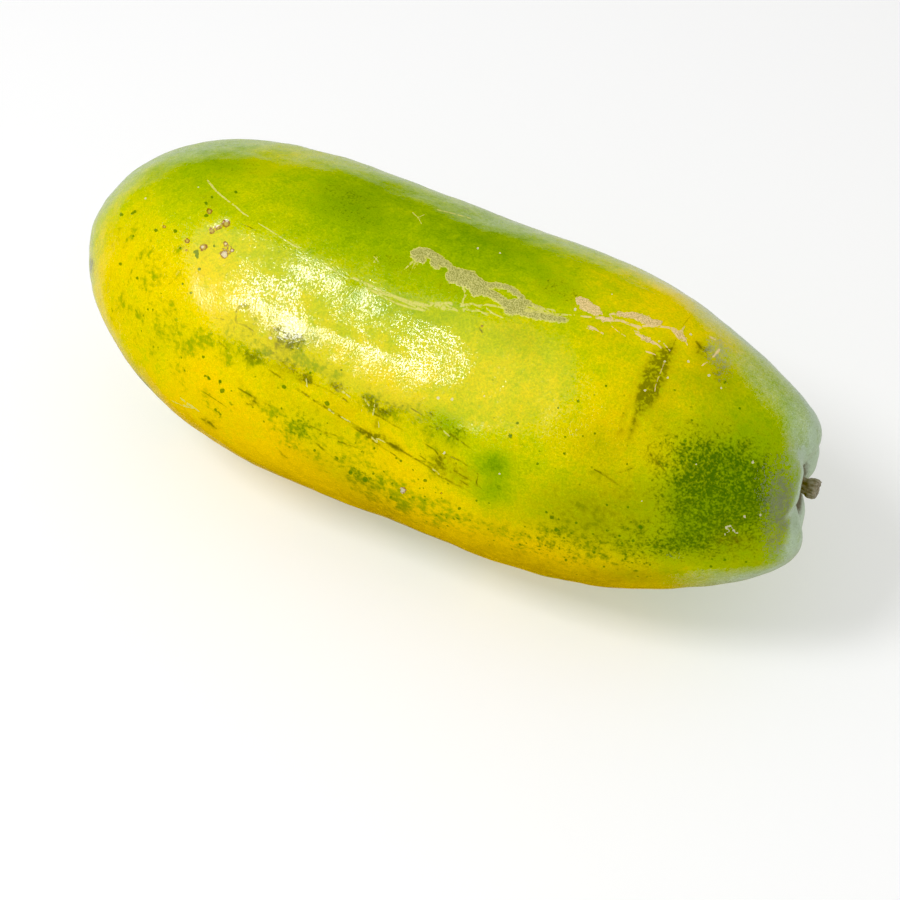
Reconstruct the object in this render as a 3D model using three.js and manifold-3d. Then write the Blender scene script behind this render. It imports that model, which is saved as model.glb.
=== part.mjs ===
// A whole ripening papaya lying on its side, with the stub of its cut stalk. Millimetres.
// X runs from the blossom end to the stem end and Z is up. Angles around the fruit start at the
// top and turn towards -Y.
import * as THREE from 'three';
import { mergeVertices } from 'three/addons/utils/BufferGeometryUtils.js';
import Module from 'manifold-3d';

// Body: a long oval, fattest towards the blossom end.
const LENGTH = 338;              // tip to tip, before the stem hollow is pressed in
const RADIUS = 67.3;
const WAIST_AT = 162.5;          // where the blossom half gives way to the stem half
const BLUNTNESS = 2.5;           // 2 is an ellipse lengthwise, more is blunter
const BLOSSOM_FULLNESS = 1.88;   // the same for the girth, in each half
const STEM_FULLNESS = 1.96;
const GIRTH_WAVES = [0.092, 0.015, 0.035, -0.017, 0.005];   // slow swells along the body

// The five ridges, one for each seed chamber, strongest at the two ends.
const RIDGES = 5;
const RIDGE_ANGLE = 23.5;        // degrees, from the blossom end to past the middle
const SHOULDER_ANGLE = 43.5;     // degrees, at the stem end
const BLOSSOM_RIDGE = 0.022;     // ridge height as a share of the radius
const MIDDLE_RIDGE = 0.005;
const SHOULDER_RIDGE = 0.019;
const RIDGE_CREST = 0.25;        // sharpens the crests; on the shoulder it sharpens the valleys

// The slow bend of the body and the slant of its two ends.
const SAG = 9.4;                 // how far both ends lift
const SAG_SKEW = 3.8;            // extra lift of one end over the other
const SIDE_BEND = -4.5;          // the same two, sideways
const SIDE_SKEW = 3.1;
const SAG_LEVEL = 0.33;          // where the bend crosses the straight axis
const SKEW_LEVEL = 0.6;
const STEM_SLANT = [-0.2, -0.019];    // rise along X per mm of Y, and per mm of Z
const BLOSSOM_SLANT = [-0.257, -0.009];

// Shares of the length, from the blossom tip, over which each feature comes in.
const RIDGE_TURN_SPAN = [0.5, 0.92];
const CREST_SPAN = [0.75, 1];
const BLOSSOM_SPAN = [0, 0.45];
const SHOULDER_SPAN = [0.6, 1];
const STEM_SPAN = [0.55, 1];
const CROWN_SPAN = [0.8, 1];
const HOLLOW_SPAN = [0, 0.6];    // the same, over the half of the body that holds the hollow

// Hollow at the stem end, ringed by five low shoulders.
const HOLLOW_DEPTH = 22;
const HOLLOW_RADIUS = 20;
const CROWN_HEIGHT = 2.2;
const CROWN_REACH = [4, 24];     // radii over which the shoulders rise out of the hollow
const SHOULDER_LIFTS = [-3.4, 1.3, -1.3, 0, 0.6];   // for each shoulder, from SHOULDER_ANGLE on
const LIFT_REACH = [6, 18, 30, 54];                 // radii where the lifts rise and fade

// Stalk stub, its foot sunk in a shallow socket in the floor of the hollow.
const STUB_PROFILE = [           // distance out from the hollow's floor, radius
  [-2.7, 4.3],
  [0.4, 4.1],
  [2, 3.3],
  [3.6, 3.1],
  [4.8, 3.7],
  [5.9, 4.3],
  [8.2, 4.3],
  [9.2, 3.6],
];
const STUB_DISH = 0.5;           // how far the cut face is sunk
const STUB_LOBES = 0.06;         // five-sided section, as a share of the radius
const STUB_TWIST = 0.9;          // radians, from foot to cut face
const SOCKET_GAP = 0.3;          // all round the foot

// Small flat the fruit lies on.
const FLAT_DEPTH = 0.45;

const STATIONS = 66;             // rings along the fruit
const AROUND = 80;               // points in a ring
const STUB_AROUND = 30;
const SOCKET_AROUND = 40;
const END_CROWDING = 0.5;        // 0 spaces the rings evenly, 1 crowds them at the ends
const MERGE_WITHIN = 1e-4;       // points closer than this count as one

const TURN = 2 * Math.PI;
const { degToRad, lerp, smoothstep } = THREE.MathUtils;

// Wave of the ridges around the section at t along the body.
function ridgeWave(t, angle) {
  const phase = degToRad(lerp(RIDGE_ANGLE, SHOULDER_ANGLE, smoothstep(t, ...RIDGE_TURN_SPAN)));
  const crest = RIDGE_CREST * (1 - 2 * smoothstep(t, ...CREST_SPAN));
  const turn = RIDGES * (angle - phase);
  return Math.cos(turn) + crest * Math.cos(2 * turn);
}

function ridgeHeight(t) {
  const atBlossom = (BLOSSOM_RIDGE - MIDDLE_RIDGE) * (1 - smoothstep(t, ...BLOSSOM_SPAN));
  const atShoulder = (SHOULDER_RIDGE - MIDDLE_RIDGE) * smoothstep(t, ...SHOULDER_SPAN);
  return MIDDLE_RIDGE + atBlossom + atShoulder;
}

function girth(t) {
  return GIRTH_WAVES.reduce((sum, size, i) => sum + size * Math.cos((i + 1) * Math.PI * t), 1);
}

// How much higher or lower the shoulders round the hollow stand at this angle.
function shoulderLift(angle) {
  const from = degToRad(SHOULDER_ANGLE);
  const share = (i) => Math.max(Math.cos(angle - from - (i * TURN) / RIDGES), 0) ** 3;
  return SHOULDER_LIFTS.reduce((sum, lift, i) => sum + lift * share(i), 0);
}

// Point of the skin. s runs from 0 at the blossom tip to pi in the middle of the stem hollow.
function skinPoint(s, angle) {
  const c = Math.cos(s);
  const blossomHalf = c > 0;
  const half = blossomHalf ? -WAIST_AT : LENGTH - WAIST_AT;
  const fullness = blossomHalf ? BLOSSOM_FULLNESS : STEM_FULLNESS;
  const along = WAIST_AT + half * Math.abs(c) ** (2 / BLUNTNESS);
  const t = along / LENGTH;
  const radius = RADIUS * Math.max(Math.sin(s), 0) ** (2 / fullness) * girth(t);
  const wave = ridgeWave(t, angle);
  const r = radius * (1 + ridgeHeight(t) * wave);
  let x = along - LENGTH / 2;
  let y = -r * Math.sin(angle);
  let z = r * Math.cos(angle);
  if (!blossomHalf) {
    const sunk = Math.exp(-((radius / HOLLOW_RADIUS) ** 2));
    x -= HOLLOW_DEPTH * sunk * smoothstep(-c, ...HOLLOW_SPAN);
    const rise = smoothstep(t, ...CROWN_SPAN);
    x += CROWN_HEIGHT * wave * rise * smoothstep(radius, ...CROWN_REACH);
    const [from, full, until, gone] = LIFT_REACH;
    const ring = smoothstep(radius, from, full) * (1 - smoothstep(radius, until, gone));
    x += shoulderLift(angle) * rise * ring;
  }
  const stemEnd = smoothstep(t, ...STEM_SPAN);
  const blossomEnd = 1 - smoothstep(t, ...BLOSSOM_SPAN);
  x += stemEnd * (STEM_SLANT[0] * y + STEM_SLANT[1] * z);
  x += blossomEnd * (BLOSSOM_SLANT[0] * y + BLOSSOM_SLANT[1] * z);
  const u = 2 * t - 1;
  const bow = u * u - SAG_LEVEL;
  const skew = u * (u * u - SKEW_LEVEL);
  y += SIDE_BEND * bow + SIDE_SKEW * skew;
  z += SAG * bow + SAG_SKEW * skew;
  return new THREE.Vector3(x, y, z);
}

// Closed skin over a stack of rings, with a point at each end.
function loft(firstPoint, rings, lastPoint) {
  const n = rings[0].length;
  const points = [firstPoint, ...rings.flat(), lastPoint];
  const last = points.length - 1;
  const faces = [];
  const at = (ring, j) => 1 + ring * n + (j % n);
  for (let j = 0; j < n; j++) {
    faces.push(0, at(0, j + 1), at(0, j));
    faces.push(last, at(rings.length - 1, j), at(rings.length - 1, j + 1));
  }
  for (let i = 0; i < rings.length - 1; i++) {
    for (let j = 0; j < n; j++) {
      faces.push(at(i, j), at(i, j + 1), at(i + 1, j));
      faces.push(at(i, j + 1), at(i + 1, j + 1), at(i + 1, j));
    }
  }
  const geometry = new THREE.BufferGeometry().setFromPoints(points);
  geometry.setIndex(faces);
  return geometry;
}

const wasm = await Module();
wasm.setup();

function toSolid(geometry) {
  const bare = new THREE.BufferGeometry();
  bare.setAttribute('position', geometry.getAttribute('position'));
  bare.setIndex(geometry.getIndex());
  const merged = mergeVertices(bare, MERGE_WITHIN);
  return new wasm.Manifold(new wasm.Mesh({
    numProp: 3,
    vertProperties: new Float32Array(merged.getAttribute('position').array),
    triVerts: new Uint32Array(merged.getIndex().array),
  }));
}

function toGeometry(solid) {
  const mesh = solid.getMesh();
  const geometry = new THREE.BufferGeometry();
  geometry.setAttribute('position', new THREE.Float32BufferAttribute(mesh.vertProperties, 3));
  geometry.setIndex(new THREE.Uint32BufferAttribute(mesh.triVerts, 1));
  return geometry;
}

// Skin and flesh in one solid, without its flat and its socket.
function fruitBody() {
  const rings = [];
  for (let i = 1; i < STATIONS; i++) {
    const even = i / STATIONS;
    const s = Math.PI * (even - END_CROWDING * Math.sin(TURN * even) / TURN);
    const ring = [];
    for (let j = 0; j < AROUND; j++) {
      ring.push(skinPoint(s, (j / AROUND) * TURN));
    }
    rings.push(ring);
  }
  return loft(skinPoint(0, 0), rings, skinPoint(Math.PI, 0));
}

// The stub stands along X on the point given.
function stub(foot) {
  const rings = STUB_PROFILE.map(([along, radius]) => {
    const share = (along - STUB_PROFILE[0][0]) / (STUB_PROFILE.at(-1)[0] - STUB_PROFILE[0][0]);
    const ring = [];
    for (let j = 0; j < STUB_AROUND; j++) {
      const angle = (j / STUB_AROUND) * TURN;
      const lobes = 1 + STUB_LOBES * (Math.cos(RIDGES * angle + STUB_TWIST * share) - 1) / 2;
      const r = radius * lobes;
      ring.push(new THREE.Vector3(along, -r * Math.sin(angle), r * Math.cos(angle)).add(foot));
    }
    return ring;
  });
  const bottom = new THREE.Vector3(STUB_PROFILE[0][0], 0, 0).add(foot);
  const face = new THREE.Vector3(STUB_PROFILE.at(-1)[0] - STUB_DISH, 0, 0).add(foot);
  return loft(bottom, rings, face);
}

function socketTool(foot) {
  const [depth, radius] = [SOCKET_GAP - STUB_PROFILE[0][0], STUB_PROFILE[0][1] + SOCKET_GAP];
  const length = depth + HOLLOW_DEPTH;
  const tool = new THREE.CylinderGeometry(radius, radius, length, SOCKET_AROUND);
  tool.rotateZ(Math.PI / 2);
  tool.translate(foot.x - depth + length / 2, foot.y, foot.z);
  return tool;
}

function flatTool(body) {
  body.computeBoundingBox();
  const { min, max } = body.boundingBox;
  const size = max.x - min.x;
  const tool = new THREE.BoxGeometry(size, size, size);
  tool.translate(0, 0, min.z + FLAT_DEPTH - size / 2);
  return tool;
}

const foot = skinPoint(Math.PI, 0);
const body = fruitBody();
const cut = toSolid(body).subtract(toSolid(socketTool(foot))).subtract(toSolid(flatTool(body)));
const fruitGeometry = toGeometry(cut);
const stemGeometry = stub(foot);

const fruit = new THREE.Mesh(
  fruitGeometry,
  new THREE.MeshStandardMaterial({ color: 0xc8b400, roughness: 0.35, metalness: 0 }),
);
fruit.name = 'fruit';

const stem = new THREE.Mesh(
  stemGeometry,
  new THREE.MeshStandardMaterial({ color: 0x6e6256, roughness: 0.85, metalness: 0 }),
);
stem.name = 'stem';

// Origin under the middle of the whole fruit, on the surface it lies on.
const box = new THREE.Box3().setFromObject(fruit).union(new THREE.Box3().setFromObject(stem));
const middle = box.getCenter(new THREE.Vector3());
for (const mesh of [fruit, stem]) {
  mesh.geometry.translate(-middle.x, -middle.y, -box.min.z);
  mesh.geometry.computeVertexNormals();
}

const group = new THREE.Group();
group.name = 'papaya';
group.add(fruit, stem);

export default group;
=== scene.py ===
"""A ripening papaya on its side: the dense skin with its marks, the stalk stub, floor, lights and camera."""

import bpy
import numpy as np
from mathutils import Euler, Matrix, Vector


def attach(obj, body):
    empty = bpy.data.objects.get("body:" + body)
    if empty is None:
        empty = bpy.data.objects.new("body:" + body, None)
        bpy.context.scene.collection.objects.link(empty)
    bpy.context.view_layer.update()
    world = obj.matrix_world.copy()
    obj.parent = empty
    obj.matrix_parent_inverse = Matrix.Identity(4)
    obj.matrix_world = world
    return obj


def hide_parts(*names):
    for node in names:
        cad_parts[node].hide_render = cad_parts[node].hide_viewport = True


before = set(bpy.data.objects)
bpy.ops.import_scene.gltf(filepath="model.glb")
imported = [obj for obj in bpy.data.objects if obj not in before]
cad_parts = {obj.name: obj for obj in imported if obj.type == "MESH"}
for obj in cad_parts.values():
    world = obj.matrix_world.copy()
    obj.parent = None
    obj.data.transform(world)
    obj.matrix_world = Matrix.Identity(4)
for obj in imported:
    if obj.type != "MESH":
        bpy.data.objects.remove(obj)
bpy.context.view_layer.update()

MM = 0.001
TURN = 2 * np.pi

# ---------------- camera, as the object is seen
CAMERA_AT = np.array([278.78, -519.2, 621.3]) * MM
CAMERA_AZIMUTH = 27.81  # degrees round from -Y towards +X
CAMERA_DOWN = 45.7
CAMERA_REACH = 50.0
LENS_MM = 80.0
SENSOR_MM = 36.0
FRAME_PX = 900.0

# ---------------- the body, in mm as the solids are
LENGTH = 338.0
RADIUS = 67.3
WAIST_AT = 162.5
BLUNTNESS = 2.5
BLOSSOM_FULLNESS = 1.88
STEM_FULLNESS = 1.96
GIRTH_WAVES = (0.092, 0.015, 0.035, -0.017, 0.005)
RIDGES = 5
RIDGE_ANGLE = 23.5
SHOULDER_ANGLE = 43.5
BLOSSOM_RIDGE = 0.022
MIDDLE_RIDGE = 0.005
SHOULDER_RIDGE = 0.019
RIDGE_CREST = 0.25
SAG = 9.4
SAG_SKEW = 3.8
SAG_LEVEL = 0.33
SIDE_BEND = -4.5
SIDE_SKEW = 3.1
SKEW_LEVEL = 0.6
STEM_SLANT = (-0.2, -0.019)
BLOSSOM_SLANT = (-0.257, -0.009)
HOLLOW_DEPTH = 22.0
HOLLOW_RADIUS = 20.0
CROWN_HEIGHT = 2.2
CROWN_REACH = (4.0, 24.0)
SHOULDER_LIFTS = (-3.4, 1.3, -1.3, 0.0, 0.6)
LIFT_REACH = (6.0, 18.0, 30.0, 54.0)
FLAT_DEPTH = 0.45
STUB_TIP = 9.2  # how far the cut stalk stands out from the floor of the hollow
# Over which shares of the length the forms come in; the hollow's is a share of the stem half.
RIDGE_TURN_SPAN = (0.5, 0.92)
CREST_SPAN = (0.75, 1)
BLOSSOM_SPAN = (0, 0.45)
SHOULDER_SPAN = (0.6, 1)
STEM_SPAN = (0.55, 1)
CROWN_SPAN = (0.8, 1)
HOLLOW_SPAN = (0, 0.6)

# ---------------- density of the dressed skin
STATIONS = 330
AROUND = 298
SHARP_SIDE = np.radians(40)  # the side that carries the fine marks has closer points
SHARPNESS = 0.35
SPACING_LINE = 0.8  # the angle round the body of the line that spaces the rings
SPACING_POINTS = 4000


def smoothstep(lo, hi, v):
    t = np.clip((v - lo) / (hi - lo), 0, 1)
    return t * t * (3 - 2 * t)


def ridge_wave(t, angle):
    phase = np.radians(RIDGE_ANGLE + (SHOULDER_ANGLE - RIDGE_ANGLE) * smoothstep(*RIDGE_TURN_SPAN, t))
    crest = RIDGE_CREST * (1 - 2 * smoothstep(*CREST_SPAN, t))
    turn = RIDGES * (angle - phase)
    return np.cos(turn) + crest * np.cos(2 * turn)


def ridge_height(t):
    at_blossom = (BLOSSOM_RIDGE - MIDDLE_RIDGE) * (1 - smoothstep(*BLOSSOM_SPAN, t))
    at_shoulder = (SHOULDER_RIDGE - MIDDLE_RIDGE) * smoothstep(*SHOULDER_SPAN, t)
    return MIDDLE_RIDGE + at_blossom + at_shoulder


def shoulder_lift(angle):
    """How much higher or lower each of the shoulders round the hollow stands."""
    turns = [angle - np.radians(SHOULDER_ANGLE) - i * TURN / RIDGES for i in range(RIDGES)]
    return sum(lift * np.clip(np.cos(turn), 0, 1) ** 3 for lift, turn in zip(SHOULDER_LIFTS, turns))


def body_points(s, angle):
    """Points of the skin in mm. s is 0 at the blossom tip and pi in the hollow."""
    c = np.cos(s)
    half = np.where(c > 0, -WAIST_AT, LENGTH - WAIST_AT)
    fullness = np.where(c > 0, BLOSSOM_FULLNESS, STEM_FULLNESS)
    along = WAIST_AT + half * np.abs(c) ** (2 / BLUNTNESS)
    t = along / LENGTH
    girth = 1 + sum(size * np.cos((i + 1) * np.pi * t) for i, size in enumerate(GIRTH_WAVES))
    radius = RADIUS * np.clip(np.sin(s), 0, 1) ** (2 / fullness) * girth
    wave = ridge_wave(t, angle)
    r = radius * (1 + ridge_height(t) * wave)
    x = along - LENGTH / 2
    y = -r * np.sin(angle)
    z = r * np.cos(angle)
    stem_half = np.where(c > 0, 0.0, 1.0)
    at_crown = smoothstep(*CROWN_SPAN, t)
    x = x - stem_half * HOLLOW_DEPTH * np.exp(-((radius / HOLLOW_RADIUS) ** 2)) * smoothstep(*HOLLOW_SPAN, -c)
    x = x + stem_half * CROWN_HEIGHT * wave * (at_crown * smoothstep(*CROWN_REACH, radius))
    ring = smoothstep(*LIFT_REACH[:2], radius) * (1 - smoothstep(*LIFT_REACH[2:], radius))
    x = x + stem_half * shoulder_lift(angle) * ring * at_crown
    stem_end = smoothstep(*STEM_SPAN, t)
    blossom_end = 1 - smoothstep(*BLOSSOM_SPAN, t)
    x = x + stem_end * (STEM_SLANT[0] * y + STEM_SLANT[1] * z)
    x = x + blossom_end * (BLOSSOM_SLANT[0] * y + BLOSSOM_SLANT[1] * z)
    u = 2 * t - 1
    bow = u * u - SAG_LEVEL
    skew = u * (u * u - SKEW_LEVEL)
    y = y + SIDE_BEND * bow + SIDE_SKEW * skew
    z = z + SAG * bow + SAG_SKEW * skew
    return np.stack([x, y, z], -1)


def even_stations():
    """Values of s that space the rings evenly along the skin."""
    s = np.linspace(0, np.pi, SPACING_POINTS)
    line = body_points(s, np.full_like(s, SPACING_LINE))
    run = np.concatenate([[0], np.cumsum(np.linalg.norm(np.diff(line, axis=0), axis=1))])
    return np.interp(np.linspace(0, run[-1], STATIONS + 1), run, s)[1:-1]


def even_angles():
    """Angles of the points in a ring, closer together on the side with the fine marks."""
    turn = np.arange(AROUND) / AROUND * TURN
    return turn - SHARPNESS * np.sin(turn - SHARP_SIDE)


S, A = np.meshgrid(even_stations(), even_angles(), indexing="ij")
grid = body_points(S, A)
blossom_tip = body_points(np.array(0.0), np.array(0.0))
hollow_floor = body_points(np.array(np.pi), np.array(0.0))
lowest = grid.reshape(-1, 3).min(0)
highest = np.maximum(grid.reshape(-1, 3).max(0), hollow_floor + [STUB_TIP, 0, 0])
MIDDLE = np.array([(lowest[0] + highest[0]) / 2, (lowest[1] + highest[1]) / 2, lowest[2] + FLAT_DEPTH])
skin = np.vstack([[blossom_tip], grid.reshape(-1, 3), [hollow_floor]]) - MIDDLE
foot = hollow_floor - MIDDLE
turn_of = np.degrees(np.concatenate([[0], A.ravel(), [0]])) % 360


def tube_faces(first, rings, around, start, end):
    """Quads between the rings, whose points begin at first, and triangles to the points start and end."""
    pairs = [(j, (j + 1) % around) for j in range(around)]
    last = first + (rings - 1) * around
    faces = [(start, first + b, first + a) for a, b in pairs]
    for here in range(first, last, around):
        there = here + around
        faces += [(here + a, here + b, there + b, there + a) for a, b in pairs]
    return faces + [(end, last + a, last + b) for a, b in pairs]


# ---------------- seeing the skin from the camera
SEEN_FROM = 0.12  # cosine to the camera from which a mark is fully shown


def camera_axes():
    a, d = np.radians(CAMERA_AZIMUTH), np.radians(CAMERA_DOWN)
    right = np.array([np.cos(a), np.sin(a), 0])
    forward = np.array([-np.sin(a) * np.cos(d), np.cos(a) * np.cos(d), -np.sin(d)])
    return right, np.cross(right, forward), forward


def picture_place(points_mm):
    """Where points fall in the 900 pixel frame, x to the right and y down."""
    right, up, forward = camera_axes()
    rel = points_mm * MM - CAMERA_AT
    scale = LENS_MM / SENSOR_MM * FRAME_PX / (rel @ forward)
    return np.stack([FRAME_PX / 2 + rel @ right * scale, FRAME_PX / 2 - rel @ up * scale], -1)


def grid_normals():
    around = np.roll(grid, -1, 1) - np.roll(grid, 1, 1)
    along = np.gradient(grid, axis=0)
    n = np.cross(around, along)
    n /= np.linalg.norm(n, axis=-1, keepdims=True) + 1e-9
    return np.vstack([[[-1, 0, 0]], n.reshape(-1, 3), [[1, 0, 0]]])


normals = grid_normals()
to_camera = CAMERA_AT / MM - skin
to_camera /= np.linalg.norm(to_camera, axis=1, keepdims=True)
facing = (normals * to_camera).sum(1)
place = picture_place(skin)
seen = smoothstep(0.0, SEEN_FROM, facing)


# ---------------- marks, placed in the 900 pixel frame
# Each point of a stroke is (x, y, half width) and each spot (x, y, radius): the place is in pixels,
# the width or radius in tenths of a pixel.
CORK = [  # the corky scar along the top
    [(414,253,40), (420,252,55), (428,252,45), (434,256,50), (440,261,50), (447,264,35), (452,269,40)],
    [(415,258,30), (421,258,45), (424,260,30)], [(433,262,35), (437,266,35)],
    [(450,276,50), (456,274,70), (463,276,75), (472,278,55), (480,284,55), (484,288,50)],
    [(452,279,40), (460,283,35), (467,284,40)], [(466,273,40), (475,273,20)],
    [(473,287,50), (475,293,45), (483,291,50), (490,293,45), (497,297,45), (503,301,40)],
    [(482,284,35), (491,285.5,25), (498,285,35), (505,286.5,35), (512,290,35), (519,295,32),
    (524,301,30)], [(503,301,45), (508,305,50), (515,304,55), (522,303,45), (528,302,25)],
    [(508,308,50), (522,311,50), (536,315,45), (550,318,38), (564,319.5,32)],
    [(506,310,25), (511,314,25), (518,310,40), (524,311,32), (531,314,35), (538,317,32), (547,317,25)],
    [(526,304,25), (534,305.5,22), (541,308,18)], [(552,318,26), (560,320,30), (568,319,15)],
]
CORK_HOLES = [
    (487,288,22), (494,291,16), (505,295,22), (511,297,20), (516,294.5,20), (520,300,12), (437,267,13),
    (538,315,10), (545,318,10),
]
PINK_CORK = [  # the paler, pinkish scars nearer the stem
    [(579,300,35), (584,304,55), (590,308,55), (596,311,45), (600,312.5,22)],
    [(603,319,26), (610,319,22)],
    [(618,313,18), (624,314.5,28), (632,314.5,28), (638,316,40), (645,319,44), (652,322,36),
    (660,322.5,26)], [(674,331,16), (680,335,32), (685,340,20)],
    [(641,336,20), (648,340,26), (654,342.5,14)], [(589,327,16), (593,328.5,16)],
]
THREADS = [  # thin corky lines
    [(354,278,12), (368,284,13), (382,291,13), (396,297,14), (408,301,16), (420,304,22), (434,304,24),
    (450,303,16)], [(366,288,8), (382,296,8), (396,303,9), (412,308,12), (428,311,10)],
    [(413,261,10), (409,265,10), (404,269,5)], [(418,263,8), (413,270,5)],
    [(463.5,289,15), (466.5,294,13), (463.5,299,9), (462.5,305,11), (464,311,6)],
    [(455,306,8), (463,305,11), (472,303.5,10), (478,306,9), (486,304.5,11), (498,306.5,12),
    (506,309,10)], [(464,307,7), (471,311,8), (479,311,8), (488,315.5,7)],
    [(487,309,6), (494,314,8), (503,318,6)], [(436,306,12), (444,309,14), (452,309,11), (457,311,7)],
    [(541,308,14), (548,309,10), (554,309.5,6)],
    [(526,311,14), (543,312.5,12), (557,314.2,11), (574,314.6,8)],
    [(582,316,10), (592,317,11), (603,318,14)],
    [(608,319.5,16), (621,320,13), (630,323.5,13), (637,326,16), (648,325.3,11), (658,326,11),
    (667,327,12), (676,329,12), (682,331,12)], [(637,326,12), (639,329.5,8)], [(610,314,9), (616,313,12)],
    [(682,330,10), (684.5,326,10)], [(672,329,12), (675,333,12)], [(684,338,13), (687.5,344.5,7)],
    [(634,331.5,10), (642,336.5,14)], [(653,342,13), (658,344,9), (661.5,347.5,8)],
    [(646,351,8), (651,352.3,9), (655,354,7)], [(593,328,12), (598,330.5,8), (603,333.5,9)],
    [(612,326,5), (619,332,7), (625,335.5,5)], [(664,363,7), (660,373,7), (656,384,6), (655,391,6)],
    [(664,343,5), (670,350,6)],
    [(208,181,12), (213,187,12), (216,191,11), (222,196,9), (228,201,9), (235.5,206,9), (242,212,8),
    (248,216,7)], [(258,223,5), (271,231,6), (285,240,6), (300,248.5,7)],
    [(322,263,6), (338,273,6), (350,279,5)], [(181,398,7), (188,404,8), (199,411.5,7)],
    [(172,401,6), (184,406,7), (194,409,6)], [(438,209,6), (455,213,7), (470,217,6)],
    [(413,212,6), (418,217,6), (421,223,6)], [(418,217,5), (424,214,5)], [(374,256,9), (378,261,9)],
    [(380,256,5), (374,262,5)], [(306,380,8), (306.5,386,9)], [(329,409.5,9), (334,413.5,8)],
    [(341,416.5,7), (350,422,7)], [(365,400,6), (369,406,6)], [(374.5,405,6), (373,414,9)],
    [(362.5,405,5), (361.5,411,6)], [(343,392,9), (350,397,6)], [(378,421,5), (379,428,8)],
    [(372,438,8), (376,442,11)], [(378,439,7), (384,442,7)], [(433,469.5,11), (438.5,473.5,10)],
    [(444,432,9), (448.5,435.5,8)], [(702,365.5,8), (707,362,9)], [(711,337,10), (715,339,9)],
    [(714,356,12), (719,350,14)],
]
SCRATCHES = [  # dark lines rubbed into the skin
    [(270,370,7), (280,377,9), (290,385,10), (300,391,11), (312,399,11), (325,407,11), (335,413,11),
    (348,421,10), (358,427,11), (366,432,12)],
    [(366,432,14), (374,437,19), (384,440,19), (394,447,15), (403,452,11), (413,458,11), (422,463,8),
    (430,468,10), (438,475,11), (448,480,11), (459,486,11), (470,493,6)],
    [(348,424,7), (358,430,9), (364,435,9), (374,442,8), (384,449,6), (395,456,6), (400,461,7)],
    [(315,385,8), (326,389,10), (333,393,9), (342,397,9), (348,402,7)],
    [(336,386,9), (345,391,13), (351,397,6)], [(350,387,9), (345,392,8)],
    [(363,397,10), (370,402,10), (377,407,8)],
    [(373,413,8), (385,420,9), (395,426,8), (406,432,6), (420,441,6), (435,450,7), (440,457,6)],
    [(380,408,7), (386,412,11), (393,417,6)], [(412,409,7), (421,414.5,7)],
    [(430,413,7), (438,420,9), (443,427,12), (450,434,10), (458,440,9), (466,445,8), (475,452,6)],
    [(427,426,5), (437,428,9), (443,431,8)],
    [(445,454,10), (452,457,10), (460,461,10), (470,467,8), (479,475,5)], [(420,456,7), (431,463.5,5)],
    [(448,466,5), (458,473,6), (466,478,7), (472,482,9), (481,488.5,5)],
    [(446,472,5), (458,478.5,6), (469,486.5,7)], [(311,426,6), (320,430,8), (327,434.5,4)],
    [(326,432,8), (337,435.5,6)], [(315,441,8), (324.5,450,9)], [(326,452,4), (338,461.5,4)],
    [(339,442,7), (348,445,8), (359,449.5,6)], [(214,336,5), (220,343,8), (226,349,8)],
    [(238,388,7), (247,393,9), (255,397.5,12), (262,402,9), (271,406.5,5)],
    [(247,404,11), (253,402.5,19), (258,400,13)],
    [(290,377,8), (300,378,13), (307,379.5,11), (309,383,7)],
    [(246,305,9), (240,306,8), (236,311,10), (235.5,319,10)], [(234,328,9), (234,332,8)],
    [(236,323,6), (244,325,9), (253,331,9)], [(214,318,6), (223,319.5,7)],
    [(199,418,7), (208,422,12), (215.5,428,9)], [(204,392,4), (214,399,4), (227,408,4)],
    [(478,476,5), (475.5,487,5), (475.5,496,7)], [(595,470,7), (603,474,10), (610,479,14), (622,487.5,6)],
    [(604,473.5,5), (613,474.5,7), (622,472,6), (633,468,5)],
    [(655,441,7), (648,446,9), (648,450,9), (653,458,12), (659,465,15), (665,471,8)],
    [(279,451,8), (283,456,12), (287,458,6)], [(304,455,8), (308,457.5,6)],
    [(696,309,6), (689,318,6), (684,324,5)], [(676,340,6), (672,348,9), (667,356,10)],
    [(276,345,20), (276,349,20)], [(274,353,12), (276,355,10)],
    [(272,334,10), (276,329,9), (282,332,10), (285,338,10)], [(721,540,16), (724,539,8)],
    [(735,538,16), (737,541,18)], [(697,342,12), (701,347,12)], [(452,203,6), (463,208,6), (468,209,5)],
    [(242,224,5), (250,227,6), (256,231,5)], [(480,329,9), (482,332,9)],
]
CREST_HIGHLIGHT = [  # painted highlight along the crest of the near shoulder
    [(803,447,15), (806,462,20), (805,474,20), (801.5,487,20), (798,502,20), (795,516,20), (793,532,15)],
]
RINGED_SPOTS = [  # sunken brown spots with dark rims
    (209,211,29), (163.7,226.5,19), (218,227,23), (211.5,230.5,31), (226,223.5,39), (186.5,240.5,25),
    (203,247,37), (225,244,25), (231.5,250,21), (224,254.5,42), (186,250,11), (482,326,13),
    (402.5,491,29), (441,493.5,12),
]
PALE_SPOTS = [  # pale flecks
    (227,220,14), (224,254.5,30), (202,246.5,16), (225,243.5,12), (231.5,250,10), (270,338,16),
    (274,328,10), (402,491,24), (499,474,11), (444,453,13), (500,252,12), (642,501,9), (696.5,464,11),
    (753,462,13), (745,517,12), (760.5,515.5,13), (726,527,12), (730,526,9), (733,530,10), (725,534,10),
    (737,533,11), (729,531,8), (612,294,8), (688.5,361,17), (691,333.5,12), (659.5,340.5,13),
    (198,187,11), (144.5,197.5,10), (575.5,308.5,13), (478,248,9), (668,377,10), (645,390,11),
    (709,375,11), (721,388,10), (665,361,10), (484,396,12), (438,398,13), (452,399,12),
]
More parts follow.
